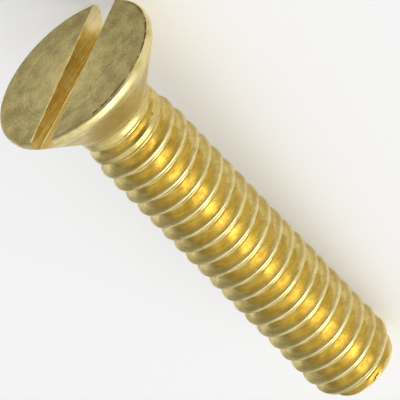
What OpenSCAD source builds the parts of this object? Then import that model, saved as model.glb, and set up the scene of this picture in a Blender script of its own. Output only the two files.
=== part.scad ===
// Slotted flat head machine screw, turned and rolled from one piece of brass.
// It lies on its side as a loose screw comes to rest: the head's rim and the last full
// turn of thread touch the floor, and one end of the slot is down, which stops it rolling.
// Inside the modules the screw stands along Z, with its flat top at Z = 0 and its tip up.

/* [Head] */
// Diameter of the head across its rim
head_d = 11.7; // [10.8:0.1:12.8]
// Included angle of the cone under the head
head_angle = 86; // [80:1:92]
// Height at which the rim and the cone would meet in a sharp edge
rim_h = 0.56; // [0.4:0.02:0.8]
// Rounding of the edge between the flat top and the rim
top_round = 0.12; // [0.05:0.01:0.15]
// Rounding of the edge between the rim and the cone
rim_round = 0.5; // [0.1:0.05:0.6]

/* [Slot] */
// Width of the screwdriver slot
slot_w = 1.8; // [1.4:0.05:2]
// Depth of the slot below the flat top, at its middle
slot_depth = 1.2; // [1:0.05:1.6]
// Slope of the slot's floor along the slot, in degrees
slot_lean = 3.5; // [0:0.5:5]

/* [Shank] */
// Length of the whole screw, from its flat top to its tip
screw_l = 30.65; // [16:0.05:50]
// Diameter of the plain neck under the head
neck_d = 5.66; // [5.4:0.02:5.8]
// Length of plain neck between the fillet and the first turn of thread
neck_l = 0.1; // [0.05:0.05:1]
// Radius of the fillet between the cone and the neck
neck_fillet = 0.3; // [0.1:0.05:0.6]
// Diameter of the tip at its flat end
tip_d = 5.16; // [4.8:0.02:5.4]
// Length of the tapered tip
tip_l = 1.3; // [0.8:0.05:2]
// Size of the softened edge round the flat end
tip_edge = 0.12; // [0.05:0.01:0.2]

/* [Thread] */
// Diameter over the crests
thread_d = 6.22; // [6:0.02:6.35]
// Advance in one turn
pitch = 1.27; // [1:0.01:1.5]
// Angle between the two flanks
flank_angle = 60; // [55:1:60]
// Width of the flat on a full crest
crest_w = 0.16; // [0.1:0.01:0.25]
// Width of the root between two full crests
root_w = 0.2; // [0.12:0.01:0.3]
// Depth of the rounding at the middle of the root
root_dip = 0.04; // [0.02:0.01:0.08]
// Turn of the thread about the axis, measured from the slot
thread_turn = 135; // [0:5:355]
// Turns over which the groove deepens below the neck
groove_runout = 0.9; // [0.6:0.1:2]
// Turns over which the crest rises from the neck to its full height
crest_runout = 2; // [1:0.1:3]
// Turns over which the groove fades out at the tip
tip_runout = 0.4; // [0.3:0.1:1]
// Facets in one turn of thread
facets = 36; // [24:4:40]

/* [Hidden] */

brass = "#c9a640";
// Overlap that lets one shape cut cleanly through another
eps = 0.01;
// Clearance by which the threaded blank stays inside the plain neck
blank_inset = 0.02;
// Share of the groove's depth that is already there where a groove begins or ends
first_depth = 0.05;
// Facets of the round outlines
round_fn = 96;

head_r = head_d / 2;
neck_r = neck_d / 2;
thread_r = thread_d / 2;
tip_r = tip_d / 2;
blank_r = neck_r - blank_inset;

// Head outline: where the rim, the cone, the fillet and the neck meet
cone_half = head_angle / 2;
cone_end = rim_h + (head_r - neck_r) / tan(cone_half);
rim_tangent = rim_round * tan(cone_half / 2);
fillet_tangent = neck_fillet * tan(cone_half / 2);
neck_end = cone_end + fillet_tangent + neck_l;

// Full depth of the groove, from its flank angle and the flats at crest and root
flank_slope = tan(flank_angle / 2);
groove_depth = (pitch - crest_w - root_w) / (2 * flank_slope);
root_r = thread_r - groove_depth;

// The crest before the first groove starts inside the head, and the last groove ends below the tip's edge.
// Both are rounded to whole facets, so that facet corners lie in the slot's direction.
phase = thread_turn / 360;
start_step = ceil((neck_end / pitch - 0.42 - phase) * facets);
start_z = (phase + start_step / facets) * pitch;
end_step = floor(((screw_l - 2 * tip_edge - root_w - start_z) / pitch - 0.5) * facets);
last_step = end_step + facets;
end_turn = end_step / facets;
crest_rise_turn = (neck_end - start_z) / pitch + 0.5;

// Lying on the floor, slot end down: the head touches with the two corners of the slot at the rim,
// and the shank touches with the last crest of full height
rim_low_z = rim_h - rim_tangent;
rim_low_r = sqrt(head_r * head_r - slot_w * slot_w / 4);
last_crest = floor((screw_l - tip_l - crest_w / 2) / pitch - phase - 0.5);
crest_low_z = (last_crest + phase + 0.5) * pitch + crest_w / 2;
lie_tilt = atan((rim_low_r - thread_r) / (crest_low_z - rim_low_z));
lie_height = rim_low_z * sin(lie_tilt) + rim_low_r * cos(lie_tilt);
// Ends of the lying screw along X, whose middle is the origin
head_reach = top_round * (cos(lie_tilt) - 1) - (rim_low_r - top_round) * sin(lie_tilt);
tip_reach = screw_l * cos(lie_tilt) + (tip_r - tip_edge) * sin(lie_tilt);

// Soft step from 0 to 1
function soft(x) = let (t = min(max(x, 0), 1)) t * t * (3 - 2 * t);

// Radius of the tapered tip at height z
taper_slope = (thread_r - tip_r) / tip_l;
function taper_r(z) = tip_r + max(screw_l - z, 0) * taper_slope;

// Height of the middle of the groove, t turns after the start
function groove_z(t) = start_z + (t + 0.5) * pitch;

// Share of the full groove and of the full crest, t turns after the start
function groove_share(t) =
    max(first_depth, min(soft(t / groove_runout), soft((end_turn - t) / tip_runout)));
function crest_share(t) = soft((t - crest_rise_turn) / crest_runout);

// Radii of crest and root, t turns after the start
function crest_at(t) = blank_r + (thread_r - blank_r) * crest_share(t);
function root_at(t) =
    let (tip_side = t > end_turn / 2)
    let (none = tip_side ? min(thread_r, taper_r(groove_z(t))) : blank_r)
    none - (none - root_r) * groove_share(t);

// Half the width of the groove where it breaks through the crest, on its head side
function groove_half(t) =
    min(root_w / 2 + (crest_at(t) - root_at(t)) * flank_slope, (pitch - crest_w) / 2);

// The same on its tip side, where its flank may meet the tapered tip first
function tip_half(t) =
    let (above = tip_r + (screw_l - groove_z(t)) * taper_slope - root_at(t))
    min(groove_half(t), (root_w / 2 + above * flank_slope) / (1 + taper_slope * flank_slope));

// Profile of one turn, t turns after the start: distance from the crest's middle, and radius
function turn_profile(t) = [
    [tip_half(t - 1) - pitch / 2, crest_at(t)],
    [pitch / 2 - groove_half(t), crest_at(t)],
    [pitch / 2 - root_w / 2, root_at(t)],
    [pitch / 2, root_at(t) - root_dip * groove_share(t)],
    [pitch / 2 + root_w / 2, root_at(t)]
];
profile_n = 5;

// One point of the thread, i steps along the helix, cut by the tapered tip
function thread_point(i, p) =
    let (z = start_z + pitch * i / facets + p[0])
    let (r = min(p[1], taper_r(z)))
    let (a = 360 * (start_step + i) / facets)
    [r * cos(a), r * sin(a), z];

// A ring of points at height z, which starts in the direction of step i
function ring(r, z, i) = [
    for (k = [0 : facets - 1])
        let (a = 360 * (start_step + i + k) / facets)
        [r * cos(a), r * sin(a), z]
];

// Head and neck, turned from the outline, with its rounded edges and its fillet as true arcs
module head_outline() {
    rim_centre = [head_r - rim_round, rim_low_z];
    cone_dir = [-sin(cone_half), cos(cone_half)];
    cone_out = [cos(cone_half), sin(cone_half)];
    rim_corner = [head_r, rim_h];
    neck_corner = [neck_r, cone_end];
    fillet_centre = [neck_r + neck_fillet, cone_end + fillet_tangent];
    difference() {
        union() {
            polygon([[0, 0], [head_r, 0], rim_corner, neck_corner, [neck_r, neck_end], [0, neck_end]]);
            difference() {
                polygon([
                    [neck_r - eps, cone_end - fillet_tangent * cos(cone_half)],
                    neck_corner - fillet_tangent * cone_dir,
                    fillet_centre,
                    [neck_r - eps, cone_end + fillet_tangent]
                ]);
                translate(fillet_centre) circle(r = neck_fillet, $fn = round_fn);
            }
        }
        difference() {
            translate([head_r - top_round, -eps]) square(top_round + eps);
            translate([head_r - top_round, top_round]) circle(r = top_round, $fn = round_fn);
        }
        difference() {
            polygon([
                rim_centre,
                [head_r + eps, rim_low_z],
                rim_corner + eps * [1, 1],
                rim_corner + rim_tangent * cone_dir + eps * cone_out
            ]);
            translate(rim_centre) circle(r = rim_round, $fn = round_fn);
        }
    }
}

// The slot's floor leans about its middle, deeper at the end that lies on the floor
module slotted_head() {
    saw_l = 3 * head_r;
    saw_h = 2 * slot_depth;
    difference() {
        rotate_extrude($fn = round_fn) head_outline();
        translate([0, 0, slot_depth])
        rotate([0, slot_lean, 0])
        translate([-saw_l / 2, -slot_w / 2, -saw_h])
        cube([saw_l, slot_w, saw_h]);
    }
}

// Threaded shank: a ribbon of profile steps wound round the axis, closed by a flat at each end.
// Each turn's last line of points is joined to the first line of the next turn.
module threaded_shank() {
    helix = [
        for (i = [0 : end_step - 1], p = turn_profile(i / facets)) thread_point(i, p)
    ];
    last_line = [
        for (i = [end_step : last_step]) thread_point(i, turn_profile(i / facets)[0])
    ];
    points = concat(
        helix,
        last_line,
        ring(blank_r, start_z - pitch / 2, 0),
        ring(tip_r, screw_l - tip_edge, end_step),
        ring(tip_r - tip_edge, screw_l, end_step)
    );
    line_at = len(helix);
    base_at = line_at + len(last_line);
    tip_at = base_at + facets;
    face_at = tip_at + facets;
    // Index of profile point j at step i; the last turn has only its first line
    function at(i, j) = i < end_step ? i * profile_n + j : line_at + i - end_step;
    // Index of the point after profile point j at step i, which may be on the next turn
    function after(i, j) = j < profile_n - 1 ? at(i, j + 1) : at(i + facets, 0);
    function around(first, k) = first + k % facets;
    wound = [
        for (i = [0 : end_step - 2], j = [0 : profile_n - 1])
            [at(i, j), after(i, j), after(i + 1, j), at(i + 1, j)]
    ];
    base_wall = [
        for (k = [0 : facets - 2])
            [around(base_at, k), at(k, 0), at(k + 1, 0), around(base_at, k + 1)]
    ];
    // Where the first turn begins, a fan joins its profile to the plain blank
    first_profile = concat([base_at], [for (j = [0 : profile_n - 1]) at(0, j)], [at(facets, 0)]);
    base_fan = [
        for (j = [0 : profile_n])
            [at(facets - 1, 0), first_profile[j + 1], first_profile[j]]
    ];
    base_corner = [[at(facets - 1, 0), base_at, around(base_at, facets - 1)]];
    // Where the last turn ends, the groove's profile runs into the tapered tip
    end_profile = concat(
        [for (j = [0 : profile_n - 1]) at(end_step - 1, j)],
        [at(last_step - 1, 0), at(last_step, 0)]
    );
    end_fan = [
        for (j = [0 : profile_n])
            [at(end_step, 0), end_profile[j], end_profile[j + 1]]
    ];
    tip_wall = [
        for (k = [1 : facets - 1])
            [at(end_step + k, 0), around(tip_at, k), around(tip_at, k + 1), at(end_step + k + 1, 0)]
    ];
    tip_corner = [
        [at(end_step + 1, 0), at(end_step, 0), at(last_step, 0)],
        [at(end_step + 1, 0), at(last_step, 0), around(tip_at, 0)],
        [at(end_step + 1, 0), around(tip_at, 0), around(tip_at, 1)]
    ];
    tip_bevel = [
        for (k = [0 : facets - 1])
            [around(tip_at, k), around(face_at, k), around(face_at, k + 1), around(tip_at, k + 1)]
    ];
    base_face = [[for (k = [0 : facets - 1]) base_at + k]];
    tip_face = [[for (k = [facets - 1 : -1 : 0]) face_at + k]];
    polyhedron(
        points,
        concat(
            wound, base_wall, base_fan, base_corner, end_fan,
            tip_wall, tip_corner, tip_bevel, base_face, tip_face
        ),
        convexity = 10
    );
}

module machine_screw() {
    color(brass)
    translate([-(head_reach + tip_reach) / 2, 0, lie_height])
    rotate([0, 90 + lie_tilt, 0])
    rotate([0, 0, 180])
    union() {
        slotted_head();
        threaded_shank();
    }
}

machine_screw();
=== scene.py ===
# Brass machine screw with a slotted countersunk head, lying on a pale studio floor.
# Shapes are worked out in millimetres along the screw's own axis, with its flat top at 0
# and its tip at SCREW_LENGTH, and are then laid on the floor in metres.
import math

import bmesh
import bpy
import numpy as np
from mathutils import Matrix, Vector


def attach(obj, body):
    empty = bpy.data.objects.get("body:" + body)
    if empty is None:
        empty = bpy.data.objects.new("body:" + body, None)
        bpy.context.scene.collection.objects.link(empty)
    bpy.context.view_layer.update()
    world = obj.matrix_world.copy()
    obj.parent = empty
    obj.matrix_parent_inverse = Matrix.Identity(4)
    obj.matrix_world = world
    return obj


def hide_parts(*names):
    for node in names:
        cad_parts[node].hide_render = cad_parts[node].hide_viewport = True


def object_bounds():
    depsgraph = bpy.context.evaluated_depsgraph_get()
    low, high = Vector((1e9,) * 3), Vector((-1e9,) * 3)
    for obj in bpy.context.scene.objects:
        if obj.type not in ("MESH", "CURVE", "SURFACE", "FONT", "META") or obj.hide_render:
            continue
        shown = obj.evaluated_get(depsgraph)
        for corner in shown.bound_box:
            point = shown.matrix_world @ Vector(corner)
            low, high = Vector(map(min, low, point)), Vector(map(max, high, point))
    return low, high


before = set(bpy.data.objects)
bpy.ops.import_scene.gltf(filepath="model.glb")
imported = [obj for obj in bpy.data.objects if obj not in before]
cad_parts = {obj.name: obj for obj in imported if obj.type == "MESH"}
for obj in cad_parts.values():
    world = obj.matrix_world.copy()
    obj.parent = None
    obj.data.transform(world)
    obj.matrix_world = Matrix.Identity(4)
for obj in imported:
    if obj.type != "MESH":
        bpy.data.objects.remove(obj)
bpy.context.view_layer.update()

MM = 0.001

# Head
HEAD_RADIUS = 5.85
CONE_HALF_ANGLE = math.radians(43)
RIM_CORNER_HEIGHT = 0.56
TOP_ROUND = 0.2
RIM_ROUND = 0.5
# Slot
SLOT_HALF = 0.9
SLOT_DEPTH = 1.2
SLOT_LEAN = math.tan(math.radians(3.5))
SLOT_FLOOR_ROUND = 0.1
LIP_ROUND = 0.06
# Shank
SCREW_LENGTH = 30.65
NECK_RADIUS = 2.83
NECK_LAND = 0.1
NECK_FILLET = 0.9
TIP_RADIUS = 2.58
TIP_LENGTH = 1.3
TIP_EDGE = 0.12
# Thread
THREAD_RADIUS = 3.11
PITCH = 1.27
FLANK_SLOPE = math.tan(math.radians(30))
CREST_WIDTH = 0.16
ROOT_WIDTH = 0.2
ROOT_ROUND = 0.09
CREST_ROUND = 0.035
THREAD_TURN = 135 / 360
START_TURN = 140 / 360
GROOVE_RUNOUT = 0.45
CREST_START = 0.9
CREST_RUNOUT = 2.0

BLANK_RADIUS = NECK_RADIUS - 0.02
GROOVE_DEPTH = (PITCH - CREST_WIDTH - ROOT_WIDTH) / (2 * FLANK_SLOPE)
ROOT_RADIUS = THREAD_RADIUS - GROOVE_DEPTH
START_HEIGHT = (THREAD_TURN + START_TURN + 2) * PITCH
CONE_END = RIM_CORNER_HEIGHT + (HEAD_RADIUS - NECK_RADIUS) / math.tan(CONE_HALF_ANGLE)
RIM_TANGENT = RIM_ROUND * math.tan(CONE_HALF_ANGLE / 2)
FILLET_TANGENT = NECK_FILLET * math.tan(CONE_HALF_ANGLE / 2)
NECK_END = CONE_END + FILLET_TANGENT + NECK_LAND
RIM_LOW = RIM_CORNER_HEIGHT - RIM_TANGENT
ARC_END = RIM_LOW + RIM_ROUND * math.sin(CONE_HALF_ANGLE)

# How the screw lies: the slot's lower end and the last full crest are on the floor
RIM_LOW_RADIUS = math.sqrt(HEAD_RADIUS**2 - SLOT_HALF**2)
LAST_CREST = math.floor((SCREW_LENGTH - TIP_LENGTH - CREST_WIDTH / 2) / PITCH - THREAD_TURN - 0.5)
CREST_LOW = (LAST_CREST + THREAD_TURN + 0.5) * PITCH + CREST_WIDTH / 2
LIE_TILT = math.atan((RIM_LOW_RADIUS - THREAD_RADIUS) / (CREST_LOW - RIM_LOW))
LIE_HEIGHT = RIM_LOW * math.sin(LIE_TILT) + RIM_LOW_RADIUS * math.cos(LIE_TILT)
HEAD_REACH = TOP_ROUND * (math.cos(LIE_TILT) - 1) - (RIM_LOW_RADIUS - TOP_ROUND) * math.sin(LIE_TILT)
TIP_REACH = SCREW_LENGTH * math.cos(LIE_TILT) + (TIP_RADIUS - TIP_EDGE) * math.sin(LIE_TILT)
# The screw's own axes in the room: up along the slot, across the slot, and from head to tip
SLOT_WAY = np.array([math.sin(LIE_TILT), 0, math.cos(LIE_TILT)])
SIDE_WAY = np.array([0.0, -1.0, 0.0])
TIP_WAY = np.array([math.cos(LIE_TILT), 0, -math.sin(LIE_TILT)])
TOP_CENTRE = np.array([-(HEAD_REACH + TIP_REACH) / 2, 0, LIE_HEIGHT])

# Grid of the surface: where its lines run
JOIN_HEIGHT = 2.0
SIDE_STEPS = 64
# Points along the round of the top edge, the plain rim, the rim's arc, the slot's wall and foot,
# and the flat land, each with both of its ends
TOP_ARC_POINTS = 7
RIM_POINTS = 4
RIM_ARC_POINTS = 7
WALL_POINTS = 6
FOOT_POINTS = 5
LAND_POINTS = 13
# Rings from the lands to the thread, over the tip's last stretch, its edge and its end face
NECK_RINGS = 14
TIP_RINGS = 6
TIP_EDGE_RINGS = 6
TIP_FACE_RINGS = 9
# Rows of the rounded top edge that have the flat top's finish
EDGE_ROWS = 3
FLOOR_ROWS = np.linspace(0, SLOT_HALF - SLOT_FLOOR_ROUND, 5)
BELOW_FLOOR = np.linspace(0, 1, 6)
SEAM_NEAR = math.radians(140)
FULL_TURNS = 20
# The shank's radius takes over from the neck's within this height, a little before the neck's end
BLEND_LEAD = 0.03
BLEND_HEIGHT = 0.12
# Steps that find where a line leaves the head
END_STEPS = 12
# Points this near are merged and edges this short dissolved, both in metres, and edges that turn
# by more than the angle stay sharp
MERGE_DISTANCE = 0.5e-6
SLIVER_DISTANCE = 1e-7
SHARP_ANGLE = math.radians(50)
# Places of the lines across one pitch, from the middle of the root to the middle of the crest
FROM_ROOT = np.array([0, 0.06, 0.09, 0.115, 0.16, 0.26, 0.38, 0.48, 0.53, 0.56, 0.595]) / PITCH
ACROSS_PITCH = np.concatenate([[0], 0.5 - FROM_ROOT[:0:-1], 0.5 + FROM_ROOT, [1]])


def head_radius(z):
    """Radius of the head and neck at height z: a quarter circle at the top edge, the plain rim,
    an arc into the cone, the cone's straight side, and the fillet's arc into the neck."""
    top = HEAD_RADIUS - TOP_ROUND + np.sqrt(np.clip(TOP_ROUND**2 - (TOP_ROUND - z) ** 2, 0, None))
    arc = HEAD_RADIUS - RIM_ROUND + np.sqrt(np.clip(RIM_ROUND**2 - (z - RIM_LOW) ** 2, 0, None))
    cone = HEAD_RADIUS - (z - RIM_CORNER_HEIGHT) * math.tan(CONE_HALF_ANGLE)
    centre = CONE_END + FILLET_TANGENT
    sunk = np.sqrt(np.clip(NECK_FILLET**2 - np.clip(centre - z, 0, None) ** 2, 0, None))
    fillet = NECK_RADIUS + NECK_FILLET - sunk
    cone_stop = CONE_END - FILLET_TANGENT * math.cos(CONE_HALF_ANGLE)
    return np.select(
        [z < TOP_ROUND, z < RIM_LOW, z < ARC_END, z < cone_stop], [top, HEAD_RADIUS, arc, cone], fillet
    )


def slot_end_point(side, above, share=1.0):
    """Where a line along the slot leaves the head at each of its two ends, upper end first.
    The line is at a distance from the slot's middle plane, and at a share of the way from the
    rim's arc down to a height above the sloping floor.
    Found by stepping x = sqrt(radius(z(x))^2 - side^2) until it settles."""
    given = [np.asarray(value, float) for value in (side, above, share)]
    side, above, share = np.broadcast_arrays(*given)
    ends = []
    for sign in (1, -1):
        x = np.full(side.shape, sign * HEAD_RADIUS)
        for _ in range(END_STEPS):
            z = ARC_END + share * (SLOT_DEPTH - SLOT_LEAN * x - above - ARC_END)
            x = sign * np.sqrt(head_radius(z) ** 2 - side**2)
        ends.append(np.stack([x, z], -1))
    return ends


def soft_step(x):
    """0 below 0, 1 above 1, and 3x^2 - 2x^3 between."""
    x = np.clip(x, 0, 1)
    return x * x * (3 - 2 * x)


def soft_least(a, b, width):
    """The lesser of a and b, with the corner between them rounded over width."""
    return np.minimum(a, b) - np.clip(width - np.abs(a - b), 0, None) ** 2 / (4 * width)


def shank_radius(turn, z):
    """Radius below the lands at height z, turn being the turns round the axis since the thread's start.
    In turns along the helix the crests lie at whole numbers and the grooves between them.
    A groove is a flat root between two straight flanks, and crest and groove grow along the helix.
    Above the neck's end it is the radius of the head."""
    along = (z - START_HEIGHT) / PITCH - turn
    groove_turn = turn + np.floor(along)
    past_crest = along - np.floor(along)
    across = np.abs(past_crest - 0.5) * PITCH
    crest_turn = groove_turn + soft_step(past_crest)
    rise = soft_step((crest_turn - CREST_START) / CREST_RUNOUT)
    crest = BLANK_RADIUS + (THREAD_RADIUS - BLANK_RADIUS) * rise
    taper = TIP_RADIUS + np.clip(SCREW_LENGTH - z, 0, None) / TIP_LENGTH * (THREAD_RADIUS - TIP_RADIUS)
    share = soft_step(groove_turn / GROOVE_RUNOUT)
    flank = ROOT_RADIUS + (across - ROOT_WIDTH / 2) / FLANK_SLOPE
    groove = -soft_least(-flank, -ROOT_RADIUS, ROOT_ROUND)
    groove = groove + (BLANK_RADIUS + CREST_ROUND - ROOT_RADIUS) * (1 - share)
    radius = soft_least(crest, groove, CREST_ROUND)
    radius = soft_least(radius, taper, CREST_ROUND)
    into = soft_step((z - NECK_END + BLEND_LEAD) / BLEND_HEIGHT)
    radius = NECK_RADIUS * (1 - into) + radius * into
    return np.where(z < NECK_END - BLEND_LEAD, head_radius(z), radius)


def rows_between(ends, half, to_far):
    """Straight rows along the slot: each point is the share to_far of the way between the row's ends."""
    x, z = [ends[0][:, None, axis] * (1 - to_far) + ends[1][:, None, axis] * to_far for axis in (0, 1)]
    return np.stack([x, half[:, None] + 0 * to_far, z], -1)


def head_side():
    """One of the two lands beside the slot, as one grid, with its rows of slot and of land.
    Its lines run from the slot's middle across the floor, up the wall, over the lip, across the
    flat land, and over the rim down the cone. Along the slot they run straight between their
    two ends, and round the head at an even angle."""
    arc_top = TOP_ROUND * (1 - np.cos(np.linspace(0, math.pi / 2, TOP_ARC_POINTS)))
    arc_rim = RIM_LOW + RIM_ROUND * np.sin(np.linspace(0, CONE_HALF_ANGLE, RIM_ARC_POINTS))
    rim = np.linspace(TOP_ROUND, RIM_LOW, RIM_POINTS)[1:-1]
    upper = np.concatenate([arc_top, rim, arc_rim])
    lip = SLOT_HALF + LIP_ROUND - np.sqrt(np.clip(LIP_ROUND**2 - (LIP_ROUND - upper) ** 2, 0, None))
    upper_half = np.where(upper < LIP_ROUND, lip, SLOT_HALF)
    upper_x = np.sqrt(head_radius(upper) ** 2 - upper_half**2)
    bend = np.linspace(0, math.pi / 2, FOOT_POINTS)
    foot_half = SLOT_HALF - SLOT_FLOOR_ROUND * (1 - np.cos(bend))
    foot_above = SLOT_FLOOR_ROUND * (1 - np.sin(bend))
    share = np.linspace(0, 1, WALL_POINTS)[1:-1]
    cone_ends = slot_end_point(SLOT_HALF, SLOT_FLOOR_ROUND, share)
    foot_ends = slot_end_point(foot_half, foot_above)
    half = np.concatenate([upper_half, np.full(len(share), SLOT_HALF), foot_half])
    ends = [
        np.concatenate([np.stack([sign * upper_x, upper], -1), cone_ends[number], foot_ends[number]])
        for number, sign in enumerate((1, -1))
    ]
    place = np.linspace(1, -1, SIDE_STEPS + 1)
    to_far = (1 - place[None, :]) / 2
    wall = rows_between(ends, half, to_far)[::-1]
    floor = rows_between(slot_end_point(FLOOR_ROWS[:-1], 0.0), FLOOR_ROWS[:-1], to_far)
    below = [end[-1, 1] + BELOW_FLOOR[1:] * (JOIN_HEIGHT - end[-1, 1]) for end in ends]
    heights = [np.concatenate([end[:, 1], low])[:, None] for end, low in zip(ends, below)]
    half = np.concatenate([half, np.full(len(below[0]), foot_half[-1])])[:, None]
    level = heights[0] * (1 - to_far) + heights[1] * to_far
    near = np.arcsin(half / head_radius(heights[0]))
    far = math.pi - np.arcsin(half / head_radius(heights[1]))
    angle = near + (far - near) * to_far
    radius = head_radius(level)
    outside = np.stack([radius * np.cos(angle), radius * np.sin(angle), level], -1)
    to_rim = np.linspace(0, 1, LAND_POINTS)[1:-1, None, None]
    land = wall[-1][None] * (1 - to_rim) + outside[0][None] * to_rim
    slot_rows = len(floor) + len(wall)
    land_rows = len(land) + EDGE_ROWS
    return np.concatenate([floor, wall, land, outside]), slot_rows, land_rows


def slot_end(number):
    """The cone below one end of the slot's floor: each line keeps its distance from the middle."""
    side = np.concatenate([-FLOOR_ROWS[::-1], FLOOR_ROWS[1:]])
    top = slot_end_point(side, 0.0)[number][:, 1]
    level = top + BELOW_FLOOR[:, None] * (JOIN_HEIGHT - top)
    out = (1, -1)[number] * np.sqrt(head_radius(level) ** 2 - side**2)
    return np.stack([out, side + 0 * level, level], -1)


def column_angles():
    """Angles of the columns round the shank, which meet those of the two lands and two slot ends."""
    radius = float(head_radius(np.array(JOIN_HEIGHT)))
    end = np.arcsin(np.concatenate([-FLOOR_ROWS[::-1], FLOOR_ROWS[1:]]) / radius)
    side = np.linspace(end[-1], math.pi - end[-1], SIDE_STEPS + 1)
    half_turn = np.concatenate([end[:-1], side[:-1]])
    whole = np.concatenate([half_turn, half_turn + math.pi])
    first = int(np.argmin(np.abs(whole - SEAM_NEAR)))
    whole = np.concatenate([whole[first:], whole[:first] + 2 * math.pi])
    return np.append(whole, whole[0] + 2 * math.pi)


def shank():
    """The cone, neck, thread and tip as one grid round the axis, whose rows follow the helix.
    Below the first turn and above the last one, as many rows again close up in a wedge,
    so that both edges of the grid meet at the seam."""
    angle = column_angles()[None, :]
    turn = (angle - angle[0, 0]) / (2 * math.pi)
    across = ACROSS_PITCH[:, None]
    low = (THREAD_TURN + angle[0, 0] / (2 * math.pi) + 2) * PITCH
    high = low + (FULL_TURNS + 1) * PITCH
    rings = np.linspace(JOIN_HEIGHT, low, NECK_RINGS)[:-1, None] + 0 * turn
    wedge_low = low + across * PITCH * turn
    turns = np.concatenate([turn_no + across for turn_no in range(FULL_TURNS)])
    wound = low + PITCH * (turn + turns)
    wedge_high = low + PITCH * (turn + FULL_TURNS + across * (1 - turn))
    tip_rings = np.linspace(high, SCREW_LENGTH - TIP_EDGE, TIP_RINGS)[1:, None] + 0 * turn
    z = np.concatenate([rings, wedge_low[:-1], wound, wedge_high[1:], tip_rings])
    start = angle / (2 * math.pi) - START_TURN
    radius = shank_radius(start + 0 * z, z)
    bend = np.linspace(0, math.pi / 2, TIP_EDGE_RINGS)[1:, None]
    edge_radius = radius[-1:] - TIP_EDGE * (1 - np.cos(bend))
    edge_z = SCREW_LENGTH - TIP_EDGE * (1 - np.sin(bend)) + 0 * turn
    face_radius = (radius[-1:] - TIP_EDGE) * np.linspace(1, 0, TIP_FACE_RINGS)[1:, None]
    radius = np.concatenate([radius, edge_radius, face_radius])
    z = np.concatenate([z, edge_z, SCREW_LENGTH + 0 * face_radius])
    return np.stack(np.broadcast_arrays(radius * np.cos(angle), radius * np.sin(angle), z), -1)


def grid_quads(rows, columns, first):
    """Corner numbers of every cell of a grid whose points are numbered along its rows from first."""
    corner = first + np.arange(rows - 1)[:, None] * columns + np.arange(columns - 1)[None, :]
    return np.stack([corner, corner + 1, corner + columns + 1, corner + columns], -1)


def laid_down(points):
    """Points along the screw's own axis, in millimetres, put where the screw lies, in metres."""
    along = points[:, :1] * SLOT_WAY + points[:, 1:2] * SIDE_WAY + points[:, 2:] * TIP_WAY
    return (along + TOP_CENTRE) * MM


# Places of the three materials in the screw's list
TOP_FINISH = 0
SLOT_FINISH = 1
THREAD_FINISH = 2


def build_screw(materials):
    """The whole screw as one closed surface: grids laid edge to edge and merged where they meet.
    The materials are those of the flat top, of the slot, and of all the rest."""
    side, slot_rows, land_rows = head_side()
    grids = [side, side * np.array([1, -1, 1]), slot_end(0), slot_end(1), shank()]
    points, quads, finish, count = [], [], [], 0
    for number, grid in enumerate(grids):
        rows, columns = grid.shape[:2]
        points.append(grid.reshape(-1, 3))
        cells = grid_quads(rows, columns, count)
        kind = np.full(cells.shape[:2], THREAD_FINISH)
        if number < 2:
            kind[: slot_rows - 1] = SLOT_FINISH
            kind[slot_rows - 1 : slot_rows + land_rows - 1] = TOP_FINISH
        quads.append(cells.reshape(-1, 4))
        finish.append(kind.reshape(-1))
        count += rows * columns
    mesh = bpy.data.meshes.new("machine_screw_surface")
    mesh.from_pydata(laid_down(np.concatenate(points)).tolist(), [], np.concatenate(quads).tolist())
    mesh.polygons.foreach_set("material_index", np.concatenate(finish).astype(np.int32))
    work = bmesh.new()
    work.from_mesh(mesh)
    bmesh.ops.remove_doubles(work, verts=work.verts, dist=MERGE_DISTANCE)
    bmesh.ops.dissolve_degenerate(work, edges=work.edges, dist=SLIVER_DISTANCE)
    bmesh.ops.recalc_face_normals(work, faces=work.faces)
    work.to_mesh(mesh)
    work.free()
    mesh.shade_smooth()
    mesh.set_sharp_from_angle(angle=SHARP_ANGLE)
    for material in materials:
        mesh.materials.append(material)
    screw = bpy.data.objects.new("brass_machine_screw", mesh)
    bpy.context.scene.collection.objects.link(screw)
    return screw


def add(tree, kind, inputs=None, **settings):
    """A shader node with its settings, its inputs set to numbers or joined to other nodes' outputs."""
    node = tree.nodes.new("ShaderNode" + kind)
    for name, value in settings.items():
        setattr(node, name, value)
    for name, value in (inputs or {}).items():
        if isinstance(value, bpy.types.NodeSocket):
            tree.links.new(value, node.inputs[name])
        else:
            node.inputs[name].default_value = value
    return node


def calculate(tree, operation, first, second=0.0):
    """One step of arithmetic on numbers or node outputs."""
    return add(tree, "Math", {0: first, 1: second}, operation=operation).outputs[0]


def total(tree, first, *others):
    """The sum of numbers and node outputs."""
    for other in others:
        first = calculate(tree, "ADD", first, other)
    return first


def product(tree, first, *others):
    """The product of numbers and node outputs."""
    for other in others:
        first = calculate(tree, "MULTIPLY", first, other)
    return first


def reckon(tree, operation, first, second=(0, 0, 0)):
    """One step of arithmetic on places, which gives a number for a length or a distance."""
    node = add(tree, "VectorMath", {0: first, 1: second}, operation=operation)
    gives_number = operation in ("LENGTH", "DISTANCE", "DOT_PRODUCT")
    return node.outputs["Value" if gives_number else "Vector"]


def spread(tree, value, low, high, to_low, to_high):
    """The value moved softly from the range low..high to the range to_low..to_high."""
    limits = {"Value": value, "From Min": low, "From Max": high, "To Min": to_low, "To Max": to_high}
    return add(tree, "MapRange", limits, interpolation_type="SMOOTHSTEP").outputs["Result"]


def blend(tree, share, first, second):
    """The first colour where share is 0, the second where it is 1."""
    pair = [
        colour if isinstance(colour, bpy.types.NodeSocket) else (*colour, 1)
        for colour in (first, second)
    ]
    inputs = {"Factor": share, "A": pair[0], "B": pair[1]}
    return add(tree, "Mix", inputs, data_type="RGBA").outputs["Result"]


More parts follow.
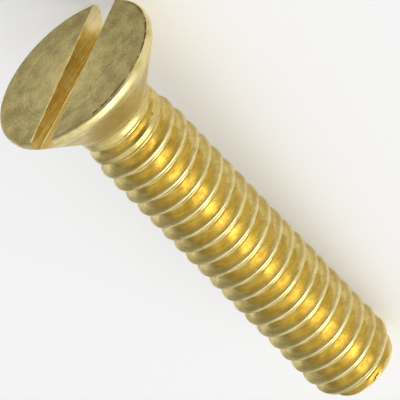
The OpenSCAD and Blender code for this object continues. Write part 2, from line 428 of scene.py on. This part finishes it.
def grain(tree, place, stretch, detail=3.0, output="Fac"):
    """Noise whose grains get smaller along each of the screw's axes as that axis's stretch grows."""
    scaled = reckon(tree, "MULTIPLY", place, stretch)
    return add(tree, "TexNoise", {"Vector": scaled, "Scale": 1.0, "Detail": detail}).outputs[output]


# Factor that leaves out a place's height along the screw's axis
ACROSS_AXIS = (1, 1, 0)


def brass(name):
    """A metal material, with the place along the screw's axes in millimetres and the radius there."""
    material = bpy.data.materials.new(name)
    material.use_nodes = True
    tree = material.node_tree
    tree.nodes["Principled BSDF"].inputs["Metallic"].default_value = 1
    axes = Matrix(np.stack([SLOT_WAY, SIDE_WAY, TIP_WAY], 1).tolist())
    place = add(tree, "Mapping", {
        "Vector": add(tree, "TexCoord").outputs["Object"],
        "Location": (TOP_CENTRE * MM).tolist(),
        "Rotation": axes.to_euler(),
        "Scale": (MM, MM, MM),
    }, vector_type="TEXTURE").outputs[0]
    radius = reckon(tree, "LENGTH", reckon(tree, "MULTIPLY", place, ACROSS_AXIS))
    return material, tree, place, radius


def finish_brass(tree, colour, roughness, height, depth):
    """Joins colour, roughness and a relief of the given depth in millimetres to the metal's shader."""
    shader = tree.nodes["Principled BSDF"]
    tree.links.new(colour, shader.inputs["Base Color"])
    tree.links.new(roughness, shader.inputs["Roughness"])
    bump = add(tree, "Bump", {"Height": height, "Distance": depth * MM, "Strength": 1.0})
    tree.links.new(bump.outputs["Normal"], shader.inputs["Normal"])


def line_distance(tree, place, start, end):
    """Distance in millimetres from the straight line between two points of the flat top."""
    way = Vector((*end, 0)) - Vector((*start, 0))
    gone = reckon(tree, "SUBTRACT", place, (*start, 0))
    share = reckon(tree, "DOT_PRODUCT", gone, way / way.length_squared)
    share = calculate(tree, "MINIMUM", calculate(tree, "MAXIMUM", share, 0.0), 1.0)
    step = add(tree, "VectorMath", {0: way, "Scale": share}, operation="SCALE").outputs[0]
    return reckon(tree, "DISTANCE", gone, step)


# Colours of the brass, and of the painted shade and reflections on it
TOP_DARK = (0.3, 0.237, 0.08)
TOP_PALE = (0.73, 0.6, 0.24)
SCRATCH_SHADE = (0.16, 0.12, 0.05)
# Painted dark reflection along one side of the flat top's edge
EDGE_PAINTED_REFLECTION = (0.13, 0.09, 0.03)
SLOT_GOLD = (0.68, 0.5, 0.16)
SLOT_PALE = (0.95, 0.82, 0.46)
GROOVE_GOLD = (0.81, 0.66, 0.26)
CREST_GOLD = (0.84, 0.72, 0.36)
# Painted shade on the flanks just below the crests
PAINTED_FLANK_SHADE = (0.25, 0.17, 0.04)
DULL_GOLD = (0.54, 0.4, 0.11)
CONE_GOLD = (0.47, 0.3, 0.05)
# Depths of the relief that the tools left, in millimetres
TOP_RELIEF = 0.004
SLOT_RELIEF = 0.012
THREAD_RELIEF = 0.004
# Most of a noise's values lie in the wide range, and its middle ones in the narrow range
WIDE = (0.3, 0.7)
NARROW = (0.35, 0.65)
# Where the finishes, painted shade and painted reflections change, in millimetres: radii on the flat
# top, radii on the thread and cone, heights below the flat top, and places along and across the slot
TOP_MIDDLE = (0.5, 4.4)
EDGE_LINE_INNER = (5.56, 5.68)
EDGE_LINE_OUTER = (5.76, 5.82)
EDGE_LINE_SIDE = (-3.6, -1.8)
CREST_BAND = (2.9, 3.09)
SHADE_INNER = (2.74, 2.94)
SHADE_OUTER = (2.99, 3.06)
CONE_INNER = (3.15, 3.4)
CONE_OUTER = (5.0, 5.5)
NICK_HEIGHTS = (0.1, 0.35)
NICK_RADII = (5.5, 5.65)
# Painted reflection on the slot: paler towards its lower end, and on its floor out to these distances
# from the middle
SLOT_LOWER_END = (-4.5, -3.6)
SLOT_FLOOR_SIDE = (0.78, 0.88)
# Corners of the hair scratch on the flat top, in millimetres along and across the slot, its
# half width, and how far it wavers
SCRATCH = [(-0.2, -4.3), (0.2, -3.1), (2.0, -2.2), (3.0, -2.75), (3.5, -3.4)]
SCRATCH_HALF = 0.07
SCRATCH_WAVER = (0.5, 0.5, 0.5)
# Grains per millimetre of radius in the turning tool's rings, and the slope of the saw's streaks
RING_SCALE = 16.0
SAW_SLOPE = 0.15


def turned_face():
    """The dull flat top: rings from the turning tool, blotches, a lighter middle, a hair scratch, and a
    painted dark reflection along one side of its edge.
    """
    material, tree, place, radius = brass("turned_face")
    blotch = grain(tree, place, (0.9, 0.9, 0.9), 5.0)
    speck = grain(tree, place, (7.0, 7.0, 7.0), 4.0)
    turned = product(tree, radius, RING_SCALE)
    ring_place = add(tree, "CombineXYZ", {"X": turned, "Y": blotch}).outputs[0]
    rings = grain(tree, ring_place, (1.0, 1.0, 1.0), 2.0)
    shaken = grain(tree, place, (2.5, 2.5, 2.5), 2.0, "Color")
    shaken = reckon(tree, "ADD", place, reckon(tree, "MULTIPLY", shaken, SCRATCH_WAVER))
    flat = reckon(tree, "MULTIPLY", shaken, ACROSS_AXIS)
    nearest = line_distance(tree, flat, SCRATCH[0], SCRATCH[1])
    for start, end in zip(SCRATCH[1:], SCRATCH[2:]):
        nearest = calculate(tree, "MINIMUM", nearest, line_distance(tree, flat, start, end))
    worn = spread(tree, speck, 0.35, 0.6, 0.1, 0.9)
    scratch = product(tree, spread(tree, nearest, 0.0, SCRATCH_HALF, 1.0, 0.0), worn)
    light = total(
        tree,
        spread(tree, radius, *TOP_MIDDLE, 0.74, 0.26),
        spread(tree, blotch, *WIDE, -0.18, 0.18),
        spread(tree, rings, *WIDE, -0.12, 0.12),
        spread(tree, speck, *WIDE, -0.16, 0.16),
    )
    colour = blend(tree, light, TOP_DARK, TOP_PALE)
    colour = blend(tree, scratch, colour, SCRATCH_SHADE)
    # A broken painted dark reflection where the flat top meets the rim, on one side only
    across = add(tree, "SeparateXYZ", {"Vector": place}).outputs["Y"]
    inner = spread(tree, radius, *EDGE_LINE_INNER, 0.0, 1.0)
    outer = spread(tree, radius, *EDGE_LINE_OUTER, 1.0, 0.0)
    broken = spread(tree, grain(tree, place, (1.7, 1.7, 1.7), 5.0), 0.42, 0.54, 0.0, 1.0)
    one_side = spread(tree, across, *EDGE_LINE_SIDE, 1.0, 0.0)
    colour = blend(tree, product(tree, inner, outer, broken, one_side), colour, EDGE_PAINTED_REFLECTION)
    rough = spread(tree, blotch, *WIDE, 0.42, 0.3)
    relief = calculate(tree, "SUBTRACT", total(tree, rings, product(tree, speck, 0.8)), scratch)
    finish_brass(tree, colour, rough, relief, TOP_RELIEF)
    return material


def sawn_slot():
    """The slot's bright walls and floor: slanting streaks left by the saw, and a painted reflection that
    makes it paler at the lower end and on its floor.
    """
    material, tree, place, _ = brass("sawn_slot")
    part = add(tree, "SeparateXYZ", {"Vector": place}).outputs
    slant = total(tree, part["Z"], product(tree, part["X"], SAW_SLOPE))
    saw_place = add(tree, "CombineXYZ", {"X": part["X"], "Y": part["Y"], "Z": slant}).outputs[0]
    streak = grain(tree, saw_place, (0.35, 9.0, 9.0), 4.0)
    blotch = grain(tree, place, (1.6, 1.6, 1.6), 4.0)
    light = total(
        tree,
        spread(tree, streak, *NARROW, 0.0, 0.7),
        spread(tree, blotch, *NARROW, -0.3, 0.3),
        # Painted reflection: paler at the slot's lower end, and on its floor
        spread(tree, part["X"], *SLOT_LOWER_END, 0.7, 0.0),
        spread(tree, calculate(tree, "ABSOLUTE", part["Y"]), *SLOT_FLOOR_SIDE, 0.7, 0.0),
    )
    colour = blend(tree, light, SLOT_GOLD, SLOT_PALE)
    rough = spread(tree, blotch, *WIDE, 0.26, 0.42)
    finish_brass(tree, colour, rough, total(tree, streak, blotch), SLOT_RELIEF)
    return material


def rolled_thread():
    """Rolled thread, cone and tip: warm gold grooves, paler crests with painted shade just below them,
    faint streaks round the axis.
    """
    material, tree, place, radius = brass("rolled_thread")
    along = add(tree, "SeparateXYZ", {"Vector": place}).outputs["Z"]
    streak = grain(tree, place, (0.7, 0.7, 10.0), 4.0)
    blotch = grain(tree, place, (1.3, 1.3, 1.3), 4.0)
    speck = grain(tree, place, (6.0, 6.0, 6.0), 3.0)
    crest = spread(tree, radius, *CREST_BAND, 0.0, 1.0)
    colour = blend(tree, crest, GROOVE_GOLD, CREST_GOLD)
    # Painted shade: the flanks darken just below the crest
    inner = spread(tree, radius, *SHADE_INNER, 0.0, 0.28)
    outer = spread(tree, radius, *SHADE_OUTER, 1.0, 0.0)
    colour = blend(tree, product(tree, inner, outer), colour, PAINTED_FLANK_SHADE)
    blotched = spread(tree, blotch, *NARROW, 0.0, 0.5)
    streaked = spread(tree, streak, *WIDE, 0.3, -0.3)
    colour = blend(tree, total(tree, blotched, streaked), colour, DULL_GOLD)
    # The cone between the neck and the rim is a darker gold
    past_neck = spread(tree, radius, *CONE_INNER, 0.0, 0.5)
    before_rim = spread(tree, radius, *CONE_OUTER, 1.0, 0.0)
    colour = blend(tree, product(tree, past_neck, before_rim), colour, CONE_GOLD)
    rough = total(
        tree,
        spread(tree, blotch, *WIDE, 0.21, 0.34),
        spread(tree, speck, *WIDE, -0.04, 0.06),
        product(tree, crest, 0.11),
    )
    # Small nicks along the rim's edge
    near_top = spread(tree, along, *NICK_HEIGHTS, 1.0, 0.0)
    at_rim = spread(tree, radius, *NICK_RADII, 0.0, 1.0)
    nicks = product(tree, near_top, at_rim, product(tree, grain(tree, place, (2.6, 2.6, 2.6)), 9.0))
    finish_brass(tree, colour, rough, total(tree, streak, blotch, nicks), THREAD_RELIEF)
    return material


screw = build_screw([turned_face(), sawn_slot(), rolled_thread()])
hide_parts("machine_screw")
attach(screw, "root")


# Camera: seen from beyond the head, with the screw's axis running down to the right and away.
# Its distance and the flat top's centre in its view are in millimetres
AXIS_DOWN = math.radians(45.774)
AXIS_AWAY = math.radians(30.9)
SLOT_TURN = math.radians(51.5)
VIEW_DISTANCE = 359.17
TOP_CENTRE_RIGHT = -7.936
TOP_CENTRE_UP = 8.044
LENS = 518.5
SENSOR_WIDTH = 36
# Nearest and farthest that the camera sees, in metres
NEAREST = 0.02
FARTHEST = 20


def set_camera():
    """The camera's axes follow from where it sees the screw's: its length, its front and its slot."""
    right_down = np.array([math.cos(AXIS_DOWN), -math.sin(AXIS_DOWN), 0])
    nearer = np.array([0, 0, 1])
    tip_way = math.cos(AXIS_AWAY) * right_down - math.sin(AXIS_AWAY) * nearer
    front = math.sin(AXIS_AWAY) * right_down + math.cos(AXIS_AWAY) * nearer
    beside = np.array([-math.sin(AXIS_DOWN), -math.cos(AXIS_DOWN), 0])
    slot_way = math.cos(SLOT_TURN) * front + math.sin(SLOT_TURN) * beside
    side_way = math.cos(SLOT_TURN) * beside - math.sin(SLOT_TURN) * front
    seen = np.stack([slot_way, side_way, tip_way], 1)
    room = np.stack([SLOT_WAY, SIDE_WAY, TIP_WAY], 1)
    axes = room @ seen.T
    place = TOP_CENTRE - axes @ np.array([TOP_CENTRE_RIGHT, TOP_CENTRE_UP, -VIEW_DISTANCE])
    data = bpy.data.cameras.new("camera")
    data.lens = LENS
    data.sensor_width = SENSOR_WIDTH
    data.clip_start = NEAREST
    data.clip_end = FARTHEST
    camera = bpy.data.objects.new("camera", data)
    turn = Matrix(axes.tolist()).to_4x4()
    camera.matrix_world = Matrix.Translation(Vector((place * MM).tolist())) @ turn
    bpy.context.scene.collection.objects.link(camera)
    bpy.context.scene.camera = camera


set_camera()


def seen_share(tree):
    """1 for camera, glossy and transmission rays, and 0 for rays that light other surfaces."""
    path = add(tree, "LightPath").outputs
    seen = calculate(tree, "MAXIMUM", path["Is Camera Ray"], path["Is Glossy Ray"])
    return calculate(tree, "MAXIMUM", seen, path["Is Transmission Ray"])


# The floor is white round the screw and falls off to grey away from it, distances in metres
FLOOR_WHITE = 0.86
FLOOR_GREY = 0.5
FLOOR_LIFT = 0.26
WHITE_RADIUS = 0.075
GREY_RADIUS = 0.15
FLOOR_REACH = 3


def white_floor():
    """A pale floor that keeps the shadow, and looks white to the camera and in the metal."""
    material = bpy.data.materials.new("white_floor")
    material.use_nodes = True
    tree = material.node_tree
    tree.nodes.clear()
    away = reckon(tree, "LENGTH", add(tree, "TexCoord").outputs["Object"])
    near = spread(tree, away, WHITE_RADIUS, GREY_RADIUS, 1.0, FLOOR_GREY / FLOOR_WHITE)
    tone = product(tree, near, FLOOR_WHITE)
    paint = add(tree, "BsdfDiffuse", {"Color": tone})
    lift = product(tree, seen_share(tree), near, FLOOR_LIFT)
    glow = add(tree, "Emission", {"Color": (1, 1, 1, 1), "Strength": lift})
    both = add(tree, "AddShader", {0: paint.outputs[0], 1: glow.outputs[0]})
    add(tree, "OutputMaterial", {"Surface": both.outputs[0]})
    return material


floor_mesh = bpy.data.meshes.new("floor")
floor_corners = [(-FLOOR_REACH, -FLOOR_REACH, 0), (FLOOR_REACH, -FLOOR_REACH, 0)]
floor_corners += [(FLOOR_REACH, FLOOR_REACH, 0), (-FLOOR_REACH, FLOOR_REACH, 0)]
floor_mesh.from_pydata(floor_corners, [], [(0, 1, 2, 3)])
floor_mesh.materials.append(white_floor())
floor = bpy.data.objects.new("floor", floor_mesh)
floor.location = (0, 0, min(0.0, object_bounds()[0][2]))
bpy.context.scene.collection.objects.link(floor)


def soft_lamp(name, toward, distance, width, height, radiance):
    """A rectangular soft lamp that faces the screw; its power gives it the wanted radiance."""
    data = bpy.data.lights.new(name, "AREA")
    data.shape = "RECTANGLE"
    data.size = width
    data.size_y = height
    data.energy = radiance * width * height * math.pi
    lamp = bpy.data.objects.new(name, data)
    way = Vector(toward).normalized()
    lamp.location = way * distance
    lamp.rotation_mode = "QUATERNION"
    lamp.rotation_quaternion = way.to_track_quat("Z", "Y")
    lamp.visible_camera = False
    bpy.context.scene.collection.objects.link(lamp)


# The room: an even level, a soft glow above and beside the lamp, and a dark opening at the camera
ROOM_LEVEL = 0.38
GLOW_LEVEL = 0.58
GLOW_WAY = (0.61, 0.35, 0.71)
DARK_WAY = (-0.463, 0.679, 0.570)
DARK_LEVEL = 0.03
DARK_OUTER = math.cos(math.radians(30))
DARK_INNER = math.cos(math.radians(13))
# The lamp: direction, distance, width and height in metres, and radiance
LAMP_WAY = (0.57, 0.785, 0.245)
LAMP_DISTANCE = 0.6
LAMP_WIDTH = 0.52
LAMP_HEIGHT = 0.62
LAMP_RADIANCE = 2.1


def studio_room():
    """A pale room, lighter beyond the tip and above. Its soft dark opening shows as thin dark lines."""
    world = bpy.data.worlds.new("studio")
    world.use_nodes = True
    tree = world.node_tree
    way = add(tree, "TexCoord").outputs["Generated"]
    to_glow = reckon(tree, "DOT_PRODUCT", way, GLOW_WAY)
    level = total(tree, spread(tree, to_glow, 0.0, 1.0, 0.0, GLOW_LEVEL), ROOM_LEVEL)
    to_dark = reckon(tree, "DOT_PRODUCT", way, DARK_WAY)
    level = product(tree, level, spread(tree, to_dark, DARK_OUTER, DARK_INNER, 1.0, DARK_LEVEL))
    back = tree.nodes["Background"]
    back.inputs["Color"].default_value = (1, 1, 1, 1)
    tree.links.new(level, back.inputs["Strength"])
    bpy.context.scene.world = world


studio_room()
soft_lamp("key_lamp", LAMP_WAY, LAMP_DISTANCE, LAMP_WIDTH, LAMP_HEIGHT, LAMP_RADIANCE)

bpy.context.scene.view_settings.view_transform = "Standard"
